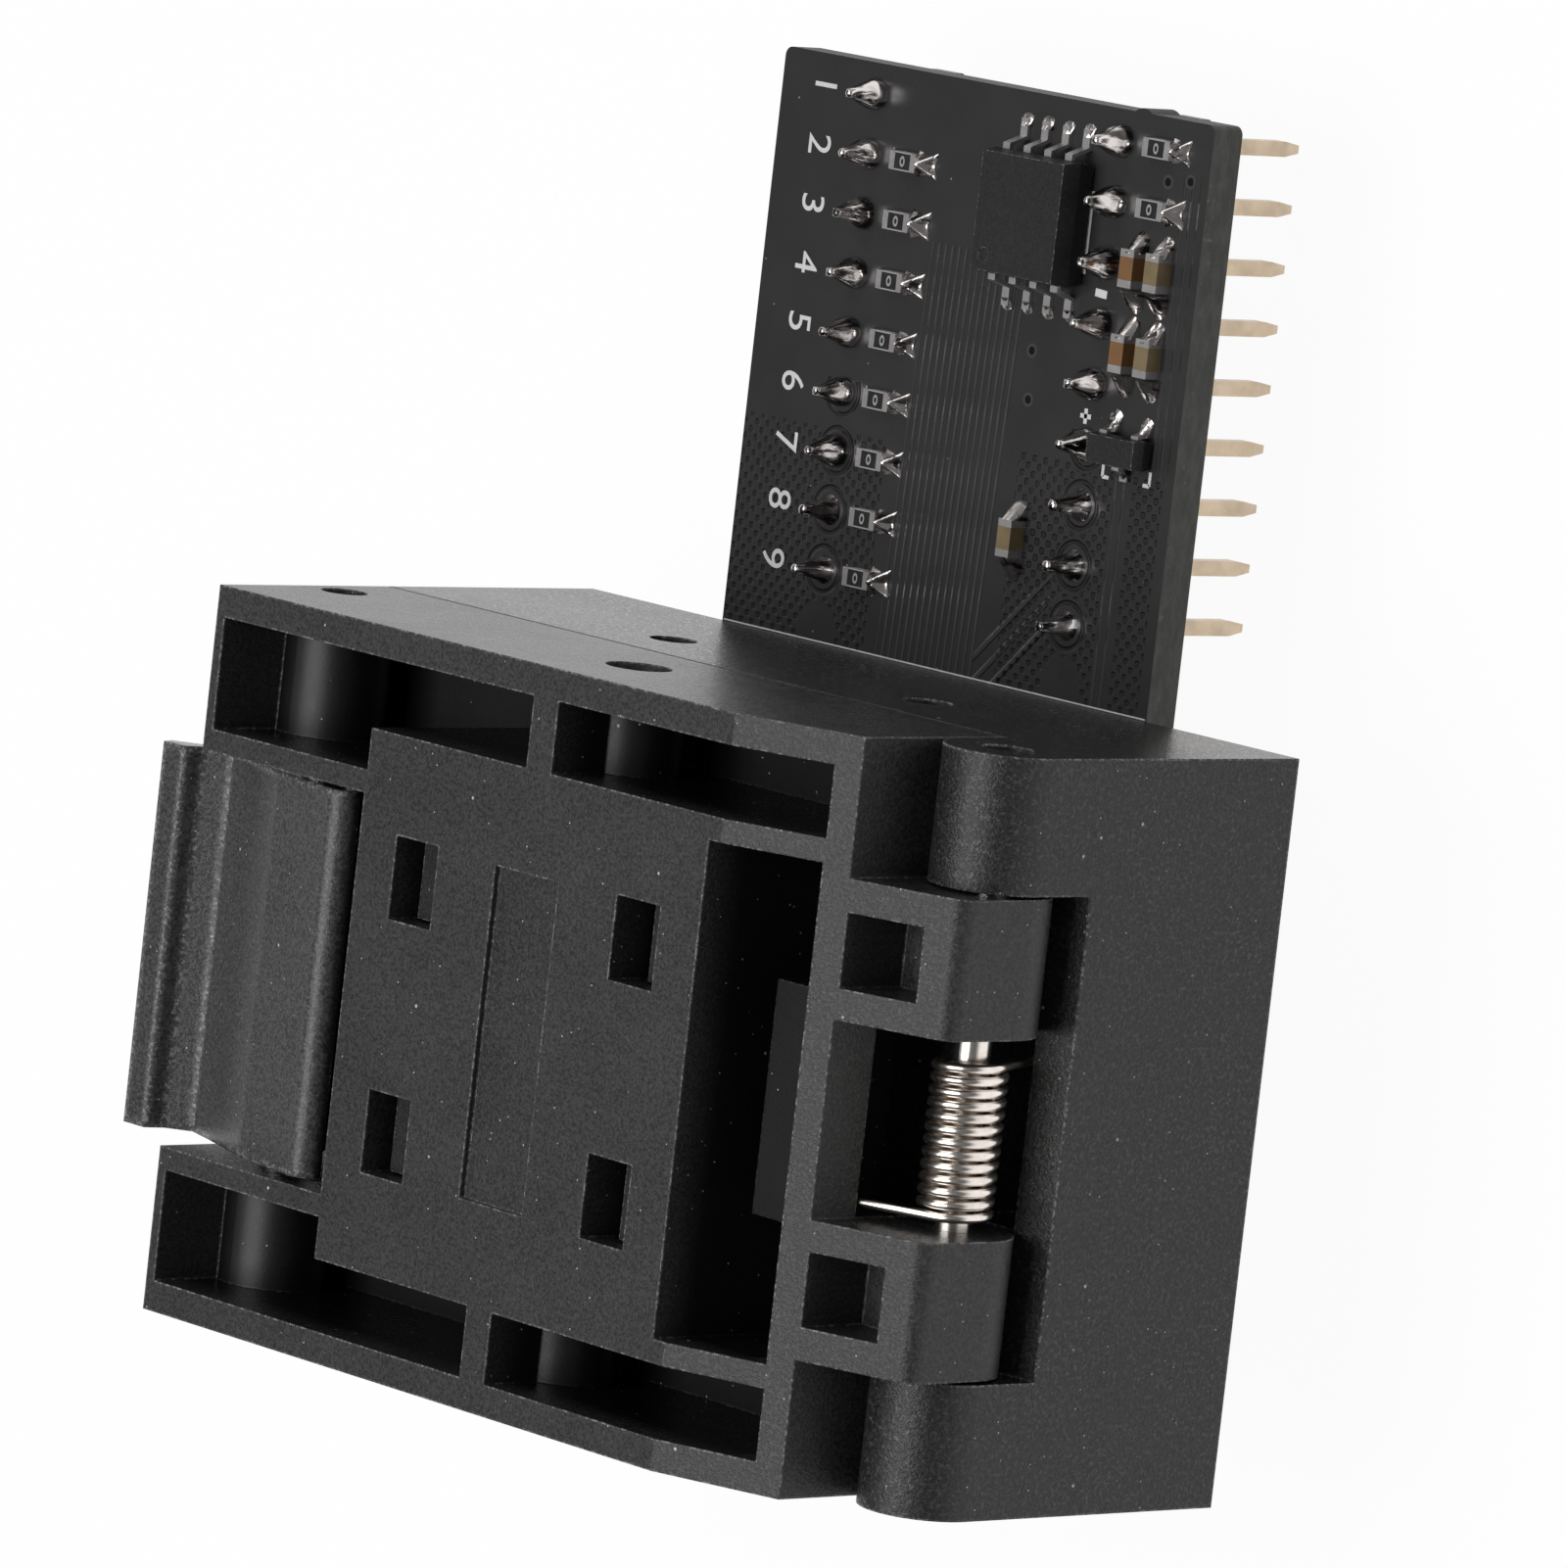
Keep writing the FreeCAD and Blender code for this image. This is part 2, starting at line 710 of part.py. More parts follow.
def lid_housing():
    half = socket_half_width
    outline = [(latch_end, base_height), (lid_end, base_height), (lid_end, slope_z(lid_end)),
               (slope_start, lid_top), (latch_end, lid_top)]
    body = profile_y(outline, -half, half)
    body = body.fuse(both_sides(lid_knuckle())).removeSplitter()
    cuts = both_sides(lid_pockets())
    cover_half = bay_half + leg_cover_wall
    cover = box(leg_recess_end - leg_cover_wall, pocket_c_right, -cover_half, cover_half,
                pocket_floor, leg_recess_top + leg_cover)
    third = box(pocket_c_left, pocket_c_right, -pocket_c_half, pocket_c_half, pocket_floor, lid_top)
    cuts.append(third.cut(cover))
    cuts.append(box(leg_recess_end, lid_end, -bay_half, bay_half, base_height, leg_recess_top))
    side = latch_half + latch_gap
    cuts.append(box(latch_end, latch_bay_right, -side, side, latch_bay_floor, lid_top))
    cuts.append(box(latch_end, latch_well_right, -side, side, base_height, lid_top))
    for y in (-latch_spring_y, latch_spring_y):
        cuts.append(rod_z(latch_spring_x, y, latch_spring_r + latch_spring_wire / 2 + spring_hole_gap,
                          latch_spring_seat, latch_bay_floor))
    cuts += side_slots(cavity_top, hook_bottom, hook_out - hook_arm - 0.1, slot_out)
    cuts += side_slots(hook_bottom, lid_top, slot_in, slot_out)
    cuts.append(centred(seat_x, cavity_x, cavity_y, base_height, cavity_top))
    ridge_gap = ridge_half + plate_gap
    ridge_room = ridge_length + plate_gap
    cuts.append(box(press_x - ridge_gap, press_x + ridge_gap, -ridge_room, ridge_room, cavity_top, press_z))
    cuts.append(rod_y(press_x, press_z, press_radius + pin_press_fit, -half, half))
    cuts += both_sides(rod_y(press_x, press_z, press_eye, half - press_eye_depth, half))
    cuts.append(rod_y(latch_x, latch_z, latch_pin_r + pin_press_fit, -half, half))
    cuts.append(centred(seat_x, label_half_x, label_half_y, lid_top - label_deep, lid_top))
    return [body.cut(Part.makeCompound(cuts))]


# The lever's side outline: finger lip, groove, rising pad, hub, leg and hooked foot
def latch_lever():
    def at(x, z):
        return latch_x + x, latch_z + z
    foot_top = catch_bottom - catch_gap
    nose_x = latch_leg_in + latch_nose
    outline = [at(lip_edge - lip_out, lip_top), at(-lip_in, lip_top), at(lip_edge - lip_in, lip_root_z),
               at(-groove_x, groove_z), at(-ramp_start_x, ramp_start_z), at(pad_start_x, pad_start_z),
               (pad_end_x, pad_end_z + lever_end_r), (pad_end_x, pad_end_z - lever_end_r),
               at(underside_x, underside_z), at(latch_hub, 0), (latch_leg_in, latch_z - latch_hub),
               (latch_leg_in, foot_top), (nose_x, foot_top), (nose_x, foot_top - latch_nose / 2),
               (latch_leg_in, latch_foot), (latch_leg_out, latch_foot), (latch_leg_out, latch_z),
               at(-underside_x, shoulder_z), at(-lip_out, lip_low)]
    lever = profile_y(outline, -latch_half, latch_half)
    rounds = [rod_y(pad_end_x, pad_end_z, lever_end_r, -latch_half, latch_half),
              rod_y(latch_x, latch_z, latch_hub, -latch_half, latch_half)]
    lever = lever.fuse(rounds).removeSplitter()
    bore = rod_y(latch_x, latch_z, latch_pin_r + latch_fit, -latch_half, latch_half)
    return [lever.cut(bore)]


def lever_underside(x):
    low = pad_end_z - lever_end_r
    start = latch_x + underside_x
    return low + (latch_z + underside_z - low) * (pad_end_x - x) / (pad_end_x - start)


def latch_springs():
    top = lever_underside(latch_spring_x - latch_spring_r - latch_spring_wire / 2)
    return [standing_spring(latch_spring_x, y, latch_spring_seat, top, latch_spring_r, latch_spring_wire,
                            latch_spring_turns) for y in (-latch_spring_y, latch_spring_y)]


def latch_pin():
    return [rod_y(latch_x, latch_z, latch_pin_r, -latch_pin_half, latch_pin_half)]


# Steel pin across the body, its two ends chamfered
def cross_pin(x, z, radius, half, chamfer):
    pin = rod_y(x, z, radius, -half, half)
    return [pin.makeChamfer(chamfer, [e for e in pin.Edges if abs(abs(e.CenterOfMass.y) - half) < 1e-6])]


def press_pin():
    return cross_pin(press_x, press_z, press_radius, press_half, 0.2)


def hinge_pin():
    return cross_pin(hinge_x, hinge_z, pin_radius, hinge_pin_half, 0.15)


# Torsion spring on the hinge pin: one leg under the lid, the other down into the base
def hinge_spring():
    start = 90 - lid_leg_lift
    whole = coil_turns - 1 + (start + base_leg_lean) / 360
    points = coil_points(coil_radius, coil_pitch, whole, -start, lid_leg_reach, base_leg_reach)
    spring = bent_wire(points, coil_wire).rotated(V(0, 0, 0), V(1, 0, 0), -90)
    return [spring.translated(V(hinge_x, coil_centre_y - coil_pitch * whole / 2, hinge_z))]


if __name__ == "__main__":
    export("adapter_board", adapter_board())
    export("header_strip_left", header_strip(-row_half))
    export("header_strip_right", header_strip(row_half))
    export("header_pins_left", header_pins(-row_half))
    export("header_pins_right", header_pins(row_half))
    export("solder_joints", solder_joints())
    export("interface_chip", interface_chip())
    export("interface_chip_leads", interface_chip_leads())
    export("transistor", transistor())
    export("transistor_leads", transistor_leads())
    export("link_resistors", link_resistors())
    export("resistor_terminals", resistor_terminals())
    export("capacitors", capacitors())
    export("capacitor_terminals", capacitor_terminals())
    export("base_housing", base_housing())
    export("base_screws", base_screws())
    export("contact_block", contact_block())
    export("contact_probes", contact_probes())
    export("nest_plate", nest_plate())
    export("nest_springs", nest_springs())
    export("pressure_plate", pressure_plate())
    export("lid_housing", lid_housing())
    export("latch_lever", latch_lever())
    export("latch_springs", latch_springs())
    export("latch_pin", latch_pin())
    export("press_pin", press_pin())
    export("hinge_pin", hinge_pin())
    export("hinge_spring", hinge_spring())
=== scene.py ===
import bmesh
import bpy
import json
import math
import random
from mathutils import Matrix, Vector


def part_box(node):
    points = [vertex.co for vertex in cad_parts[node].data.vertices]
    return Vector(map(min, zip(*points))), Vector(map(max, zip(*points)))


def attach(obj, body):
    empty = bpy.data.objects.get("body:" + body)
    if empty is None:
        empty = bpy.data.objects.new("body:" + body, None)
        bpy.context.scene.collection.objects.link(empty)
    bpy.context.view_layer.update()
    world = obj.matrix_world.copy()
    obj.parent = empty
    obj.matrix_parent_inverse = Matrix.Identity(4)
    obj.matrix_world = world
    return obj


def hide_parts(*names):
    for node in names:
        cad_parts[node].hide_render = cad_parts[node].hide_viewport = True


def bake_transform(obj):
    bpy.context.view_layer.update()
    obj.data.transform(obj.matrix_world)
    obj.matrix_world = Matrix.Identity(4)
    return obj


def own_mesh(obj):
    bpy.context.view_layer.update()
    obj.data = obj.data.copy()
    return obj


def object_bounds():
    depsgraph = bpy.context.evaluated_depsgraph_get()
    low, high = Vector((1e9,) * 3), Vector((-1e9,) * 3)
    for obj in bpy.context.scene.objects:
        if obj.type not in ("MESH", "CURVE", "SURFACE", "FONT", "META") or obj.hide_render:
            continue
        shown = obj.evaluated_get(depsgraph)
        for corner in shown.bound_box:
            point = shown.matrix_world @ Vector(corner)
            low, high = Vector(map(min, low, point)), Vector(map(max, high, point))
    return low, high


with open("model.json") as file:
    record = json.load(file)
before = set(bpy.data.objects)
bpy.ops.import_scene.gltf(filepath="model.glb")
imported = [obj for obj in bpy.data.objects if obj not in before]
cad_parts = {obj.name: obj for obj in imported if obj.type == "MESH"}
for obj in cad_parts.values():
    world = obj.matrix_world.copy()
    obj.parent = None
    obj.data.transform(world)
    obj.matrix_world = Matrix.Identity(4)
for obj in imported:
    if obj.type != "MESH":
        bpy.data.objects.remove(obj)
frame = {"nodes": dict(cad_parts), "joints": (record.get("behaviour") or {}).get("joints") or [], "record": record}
cad_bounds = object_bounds()
nodes = frame["nodes"]
mm = 0.001
dice = random.Random(7)

# Places read from the frame: the board's upper face, the hinge and the chip's seat
face_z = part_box("adapter_board")[1].z
joint = {j["name"]: j for j in frame["joints"]}
hinge_at = Vector(joint["lid_hinge"]["pos_m"])
seat = Vector(frame["record"]["mounts"][1]["pos_m"])

# Header pins: their pitch, half the distance between the rows, and their places along a row
pin_pitch = 2.54 * mm
row_half = 7.62 * mm
pins_per_row = 9
pin_ys = [pin_pitch * (k - (pins_per_row - 1) / 2) for k in range(pins_per_row)]

# Parting line between base and lid, and the box of the lid's pockets, where the lid gets painted shade
parting = face_z + 11.5 * mm
pocket_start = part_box("lid_housing")[0].x + 0.6 * mm
pocket_end = 14.3 * mm
pocket_half = 14.9 * mm
pocket_top = face_z + 20.3 * mm

# Small parts and holes on the board, in mm
left_resistor_x, right_resistor_x = -5.1, 10.1
capacitor_spots = [(9.5, 4.95), (11.0, 4.95), (9.5, 1.4), (11.0, 1.4), (4.05, -7.01)]
chip_x, chip_y = 3.76, 6.44
hole_spots = [(3.64, 0.84), (3.74, -1.21), (10.59, 8.85), (11.91, 9.03)]


class Value:
    """A shader socket on which sums can be written."""

    def __init__(self, tree, socket):
        self.tree = tree
        self.socket = socket

    def maths(self, operation, first, second=None):
        node = self.tree.nodes.new("ShaderNodeMath")
        node.operation = operation
        for place, value in zip(node.inputs, (first, second)):
            if isinstance(value, Value):
                self.tree.links.new(value.socket, place)
            elif value is not None:
                place.default_value = value
        return Value(self.tree, node.outputs[0])

    def __add__(self, other):
        return self.maths("ADD", self, other)

    def __sub__(self, other):
        return self.maths("SUBTRACT", self, other)

    def __mul__(self, other):
        return self.maths("MULTIPLY", self, other)

    def __truediv__(self, other):
        return self.maths("DIVIDE", self, other)

    def __gt__(self, other):
        return self.maths("GREATER_THAN", self, other)

    def __lt__(self, other):
        return self.maths("LESS_THAN", self, other)

    def __radd__(self, other):
        return self.maths("ADD", other, self)

    def __rsub__(self, other):
        return self.maths("SUBTRACT", other, self)

    def __rmul__(self, other):
        return self.maths("MULTIPLY", other, self)

    def __abs__(self):
        return self.maths("ABSOLUTE", self)

    def sine(self):
        return self.maths("SINE", self)

    def root(self):
        return self.maths("SQRT", self)

    def modulo(self, other):
        return self.maths("FLOORED_MODULO", self, other)

    def most(self, other):
        return self.maths("MAXIMUM", self, other)

    def least(self, other):
        return self.maths("MINIMUM", self, other)

    def between(self, low, high):
        return (self > low) * (self < high)


class Finish:
    """A material made from a Principled shader and whatever feeds it."""

    def __init__(self, name, **settings):
        self.material = bpy.data.materials.new(name)
        self.material.use_nodes = True
        self.tree = self.material.node_tree
        self.shader = self.tree.nodes["Principled BSDF"]
        for key, value in settings.items():
            self.shader.inputs[key.replace("_", " ")].default_value = value

    def node(self, kind, settings=(), inputs=(), outlet=0):
        node = self.tree.nodes.new(kind)
        for key, value in dict(settings).items():
            if key == "stops":
                ramp = node.color_ramp
                while len(ramp.elements) < len(value):
                    ramp.elements.new(0.5)
                for element, (place, level) in zip(ramp.elements, value):
                    element.position = place
                    element.color = grey(level)
            else:
                setattr(node, key, value)
        for key, value in dict(inputs).items():
            if isinstance(value, Value):
                self.tree.links.new(value.socket, node.inputs[key])
            else:
                node.inputs[key].default_value = value
        return Value(self.tree, node.outputs[outlet])

    def place(self):
        return self.node("ShaderNodeTexCoord", outlet="Object")

    def axes(self, vector):
        split = self.node("ShaderNodeSeparateXYZ", inputs={"Vector": vector})
        return [Value(self.tree, split.socket.node.outputs[k]) for k in range(3)]

    def noise(self, where, scale, detail=2.0, rough=0.5):
        return self.node("ShaderNodeTexNoise", inputs={
            "Vector": where, "Scale": scale, "Detail": detail, "Roughness": rough})

    def bump(self, height, strength, deep, **more):
        return self.node("ShaderNodeBump", inputs={
            "Strength": strength, "Distance": deep, "Height": height, **more})

    def true_normal(self):
        return self.node("ShaderNodeNewGeometry", outlet="True Normal")

    def ramp(self, value, *stops):
        return self.node("ShaderNodeValToRGB", {"stops": stops}, {"Fac": value})

    def mix(self, mask, first, second):
        return self.node("ShaderNodeMix", {"data_type": "RGBA"}, {0: mask, 6: first, 7: second}, 2)

    def feed(self, **links):
        for key, value in links.items():
            self.tree.links.new(value.socket, self.shader.inputs[key.replace("_", " ")])
        return self

    # Specks of dust: small dots, one in some of the cells
    def specks(self, where, spacing, size, share):
        cell = {"Vector": where, "Scale": 1 / spacing}
        near = self.node("ShaderNodeTexVoronoi", inputs=cell, outlet="Distance")
        pick = self.node("ShaderNodeTexVoronoi", inputs=cell, outlet="Color")
        red = self.node("ShaderNodeSeparateColor", inputs={"Color": pick})
        return self.ramp(near, (size / spacing * 0.5, 1), (size / spacing, 0)) * (red < share)

    # How far the rounded edge turns away from the flat face, 0 on the flat
    def edges(self, rounded):
        same = self.node("ShaderNodeVectorMath", {"operation": "DOT_PRODUCT"},
                         {0: rounded, 1: self.true_normal()}, "Value")
        return 1 - same


def grey(level):
    return (level, level, level, 1)


# Moulded black plastic with a fine grain and painted glints in it, smoother on its Y-facing walls,
# dusty, its edges worn in dots. Where asked, a seam runs along those walls at the height seam, and
# the pockets get painted shade, near black, below the height deep.
def moulded_plastic(name, colour, roughness, radius, grain, dust, sparkle=0.0, seam=None,
                    deep=None):
    finish = Finish(name, Roughness=roughness, IOR=1.44)
    where = finish.place()
    rounded = finish.node("ShaderNodeBevel", {"samples": 6}, {"Radius": radius})
    wall = abs(finish.axes(finish.true_normal())[1]) > 0.9
    fine = finish.noise(where, 5200, 3, 0.7)
    mottle = finish.ramp(finish.noise(where, 6800, 2, 0.8), (0.4, 0), (0.62, 1))
    cloud = finish.noise(where, 230, 3)
    dots = finish.ramp(finish.noise(where, 5500, 3, 0.6), (0.5, 0), (0.6, 1))
    worn = finish.ramp(finish.edges(rounded), (0.003, 0), (0.03, 1)) * (0.1 + 0.9 * dots)
    glints = finish.ramp(fine, (0.53, 0), (0.66, 1)) * finish.ramp(cloud, (0.3, 0.5), (0.7, 1))
    speck = finish.specks(where, 1.7 * mm, 0.09 * mm, 0.4 * dust).most(
        finish.specks(where, 0.5 * mm, 0.045 * mm, 0.35 * dust))
    dark, light = ([c * k for c in colour[:3]] + [1] for k in (0.3, 2.0))
    base = finish.mix(mottle * 0.7 + 0.3 * cloud, dark, light)
    # Painted glints: pale dots in the colour where the grain would catch the light, also less rough
    base = finish.mix(glints * sparkle, base, grey(0.14))
    x, y, z = finish.axes(where)
    shown = 1
    # Painted shade: inside the lid's pockets the colour falls to near black below the height deep, and grain and
    # worn edges fade there
    if deep:
        inside = x.between(pocket_start, pocket_end) * (abs(y - seat.y) < pocket_half)
        inside = finish.ramp((deep - z) / (1.5 * mm), (0, 0), (1, 1)) * inside
        base = finish.mix(inside * 0.9, base, grey(0.003))
        shown = 1 - inside * 0.85
        worn = worn * shown
    base = finish.mix(worn * 0.9, base, grey(0.3))
    base = finish.mix(speck, base, grey(0.5))
    rough = roughness - 0.06 + 0.12 * cloud + 0.1 * fine
    rough = rough - wall * 0.17 - glints * (0.25 * min(1, sparkle * 2))
    height = (fine * 0.9 + mottle * 0.5) * shown + speck * 0.5
    if seam:
        line = (abs(z - seam) < 0.16 * mm) * wall
        base = finish.mix(line, base, grey(0.002))
        rough = rough.most(line * 0.8)
        height = height - 4 * line
    normal = finish.bump(height, grain, 0.06 * mm, Normal=rounded)
    return finish.feed(Base_Color=base, Roughness=rough, Normal=normal).material


# Clean metal with faint clouds, in which its colour falls to the share wear, and tinned above a
# height where asked
def bright_metal(name, colour, roughness, wear, scale, bump, tinned_above=None):
    finish = Finish(name, Metallic=1.0, Roughness=roughness)
    where = finish.place()
    cloud = finish.noise(where, scale, 4, 0.6)
    fine = finish.noise(where, scale * 9, 2)
    dulled = [c * wear for c in colour[:3]] + [1]
    base = finish.mix(finish.ramp(cloud, (0.4, 0), (0.75, 1)), colour, dulled)
    if tinned_above:
        base = finish.mix(finish.axes(where)[2] > tinned_above, base, (0.74, 0.73, 0.73, 1))
    rough = roughness - 0.06 + 0.16 * cloud
    normal = finish.bump(cloud * 0.6 + fine * 0.3, bump, 0.03 * mm)
    return finish.feed(Base_Color=base, Roughness=rough, Normal=normal).material


# Bright solder with painted dark reflections in streaks that run up its slopes, more of them where
# dark_start is higher
def solder_finish(name, dark_start, roughness):
    finish = Finish(name, Metallic=1.0, Roughness=roughness)
    where = finish.place()
    drawn = finish.node("ShaderNodeMapping", inputs={"Vector": where, "Scale": (1, 1, 0.15)})
    # Painted reflections: dark streaks in the metal's colour up its slopes
    dark_reflection_streaks = finish.ramp(finish.noise(drawn, 2400, 2), (dark_start, 0), (dark_start + 0.11, 1))
    cloud = finish.noise(where, 1300, 3)
    base = finish.mix(dark_reflection_streaks, (0.1, 0.09, 0.088, 1), (0.78, 0.735, 0.715, 1))
    bump = finish.bump(dark_reflection_streaks * 0.6 + cloud * 0.6, 0.6, 0.04 * mm)
    return finish.feed(Base_Color=base, Roughness=roughness + 0.14 * cloud, Normal=bump).material


# Distance in the board's plane from a point
def distance(x, y, cx, cy):
    return ((x - cx) * (x - cx) + (y - cy) * (y - cy)).root()


# Place along Y from the nearest pin of a row
def from_pin_row(y):
    return (y + pin_pitch / 2).modulo(pin_pitch) - pin_pitch / 2


# Solder mask over copper: long tracks, a dotted ground pattern, rings round the pins, small holes
# with painted shade inside, and the bare laminate at the edges
def board_finish():
    finish = Finish("board_mask", Roughness=0.33, IOR=1.5)
    where = finish.place()
    x, y, z = finish.axes(where)
    side = 1 - (abs(finish.axes(finish.true_normal())[2]) > 0.5)

    def waves(across, apart):
        return (across * (2 * math.pi / apart)).sine()

    # Three groups of tracks: along the middle, along the right edge, and slanted near the socket
    lean = x - y * 0.04
    middle = finish.ramp(waves(lean, 0.42 * mm), (0.2, 0), (0.85, 1))
    middle = middle * lean.between(-3.3 * mm, 2.9 * mm) * (y < 4.5 * mm)
    strip = x.between(9.4 * mm, 10.5 * mm) * (y < -3.6 * mm)
    strip = strip.most(x.between(11.3 * mm, 12.6 * mm) * (y > -3.6 * mm))
    outer = finish.ramp(waves(x, 0.5 * mm), (0.4, 0), (0.9, 1)) * strip * (y < 9.5 * mm)
    slant = x - y
    slanted = finish.ramp(waves(slant, 1.1 * mm), (0.3, 0), (0.8, 1))
    slanted = slanted * slant.between(14.2 * mm, 17 * mm) * (y < -7.5 * mm)
    tracks = middle.most(outer * 0.6).most(slanted * x.between(2.2 * mm, 6.4 * mm))

    # Dots of the ground pattern on both sides of the middle, and a ring round each lower pin
    dots = finish.ramp(waves(x, 0.68 * mm) * waves(y, 0.68 * mm), (0.15, 0), (0.5, 1))
    left = (x < -4.6 * mm) * (y < -4.2 * mm)
    right = x.between(3.6 * mm, 9.4 * mm).most(x.between(10.6 * mm, 12.4 * mm)) * (y < -3.4 * mm)
    from_pin = distance(abs(x), from_pin_row(y), row_half, 0)
    ground = dots * left.most(right) * (from_pin > 1.2 * mm) * (y > -15 * mm)
    ring = finish.ramp(abs(from_pin - 0.98 * mm) / mm, (0.05, 1), (0.13, 0))
    dents = ground.most(ring * y.between(pin_ys[0] - 1.3 * mm, -2 * mm))
    cloud = finish.noise(where, 300, 3)
    dust = finish.specks(where, 0.9 * mm, 0.05 * mm, 0.3)
    mask = finish.mix(cloud, grey(0.0215), (0.033, 0.032, 0.034, 1))
    mask = finish.mix(tracks * 0.65, mask, grey(0.04))
    mask = finish.mix(dents, mask, grey(0.002))
    holes = 0
    for cx, cy in hole_spots:
        hole = distance(x, y, cx * mm, cy * mm)
        mask = finish.mix(hole < 0.3 * mm, mask, grey(0.05))
        # Painted shade: black inside the hole
        mask = finish.mix(hole < 0.18 * mm, mask, grey(0.0005))
        holes = (hole < 0.2 * mm) + holes

    # Laminate: flat fibres, and pale chips along the upper part of its edge
    layered = finish.node("ShaderNodeMapping", inputs={"Vector": where, "Scale": (1, 1, 3)})
    fibres = finish.noise(layered, 900, 4, 0.7)
    laminate = finish.mix(finish.ramp(fibres, (0.4, 0), (0.75, 1)),
                          (0.027, 0.029, 0.024, 1), (0.068, 0.071, 0.06, 1))
    chips = finish.ramp(finish.noise(where, 2600, 3, 0.7), (0.62, 0), (0.75, 1))
    laminate = finish.mix(chips * (z > face_z - 0.7 * mm) * 0.6, laminate, grey(0.24))
    base = finish.mix(side, mask, laminate)
    base = finish.mix(dust * 0.6 * (1 - side), base, grey(0.45))
    rough = 0.24 + 0.08 * cloud + side * 0.3 + dents * 0.2
    height = tracks - dents * 1.3 - holes * 3 + cloud * 0.2 + side * fibres * 0.4
    bump = finish.bump(height, 1.0, 0.1 * mm)
    return finish.feed(Base_Color=base, Roughness=rough, Normal=bump).material


# Dark glazed top with a pale border and a ring for its nought, on pale ceramic
def resistor_finish():
    finish = Finish("resistor_glaze", Roughness=0.3)
    where = finish.place()
    x, y, z = finish.axes(where)
    up = finish.axes(finish.node("ShaderNodeNewGeometry", outlet="Normal"))[2]
    cloud = finish.noise(where, 2500, 3)
    along = from_pin_row(y)
    across = x - left_resistor_x * mm - (x > 0) * ((right_resistor_x - left_resistor_x) * mm)
    from_middle = distance(across / (0.13 * mm), along / (0.2 * mm), 0, 0)
    mark = from_middle.between(0.62, 1.15)
    border = abs(along) > 0.34 * mm
    glaze = finish.mix(cloud, grey(0.008), grey(0.02))
    glaze = finish.mix(mark.most(border), glaze, grey(0.3))
    base = finish.mix(up > 0.8, finish.mix(cloud, grey(0.4), grey(0.6)), glaze)
    bump = finish.bump(cloud, 0.2, 0.02 * mm)
    return finish.feed(Base_Color=base, Roughness=0.25 + 0.2 * cloud, Normal=bump).material


# Ceramic that is brown in the left one of each pair and tan in the others
def ceramic(name):
    finish = Finish(name, Roughness=0.45)
    where = finish.place()
    x = finish.axes(where)[0]
    cloud = finish.noise(where, 1700, 3)
    rounded = finish.node("ShaderNodeBevel", {"samples": 4}, {"Radius": 0.04 * mm})
    brown = finish.mix(cloud, (0.13, 0.06, 0.02, 1), (0.22, 0.105, 0.036, 1))
    tan = finish.mix(cloud, (0.13, 0.095, 0.045, 1), (0.21, 0.155, 0.08, 1))
    base = finish.mix(x.between(8.5 * mm, 10.2 * mm), tan, brown)
    bump = finish.bump(cloud, 0.2, 0.02 * mm, Normal=rounded)
    return finish.feed(Base_Color=base, Roughness=0.4 + 0.15 * cloud, Normal=bump).material


def print_ink():
    finish = Finish("white_ink", Roughness=0.5)
    where = finish.place()
    fine = finish.noise(where, 3500, 3)
    base = finish.mix(fine, grey(0.5), grey(0.66))
    return finish.feed(Base_Color=base, Roughness=0.45 + 0.2 * fine).material


base_plastic = moulded_plastic("base_plastic", grey(0.012), roughness=0.35, radius=0.16 * mm,
                               grain=0.4, dust=0.8, sparkle=0.5)
lid_plastic = moulded_plastic("lid_plastic", grey(0.0225), roughness=0.4, radius=0.14 * mm,
                              grain=0.35, dust=1.0, sparkle=0.2, seam=parting, deep=pocket_top)
latch_plastic = moulded_plastic("latch_plastic", grey(0.041), roughness=0.28, radius=0.55 * mm,
                                grain=0.2, dust=0.9, sparkle=0.25)
inner_plastic = moulded_plastic("inner_plastic", grey(0.01), roughness=0.5, radius=0.08 * mm,
                                grain=0.3, dust=0.4)
chip_plastic = moulded_plastic("chip_plastic", grey(0.006), roughness=0.5, radius=0.05 * mm,
                               grain=0.2, dust=0.2)
bar_plastic = moulded_plastic("bar_plastic", grey(0.012), roughness=0.45, radius=0.08 * mm,
                              grain=0.2, dust=0.2)
board_mask = board_finish()
pin_gold = bright_metal("pin_gold", (0.66, 0.53, 0.39, 1), roughness=0.34, wear=0.75, scale=900,
                        bump=0.15, tinned_above=face_z)
solder = solder_finish("solder", dark_start=0.45, roughness=0.1)
bright_solder = solder_finish("bright_solder", dark_start=0.36, roughness=0.15)
tinned = bright_metal("tinned", (0.86, 0.84, 0.83, 1), roughness=0.3, wear=0.9, scale=2600,
                      bump=0.3)
nickel = bright_metal("nickel_wire", (0.92, 0.85, 0.79, 1), roughness=0.2, wear=0.85, scale=1500,
                      bump=0.1)
steel = bright_metal("ground_steel", (0.66, 0.64, 0.62, 1), roughness=0.25, wear=0.85, scale=1200,
                     bump=0.15)
contact_gold = bright_metal("contact_gold", (0.85, 0.62, 0.3, 1), roughness=0.22, wear=0.85,
                            scale=2500, bump=0.1)
glaze = resistor_finish()
brown_ceramic = ceramic("brown_ceramic")
ink = print_ink()


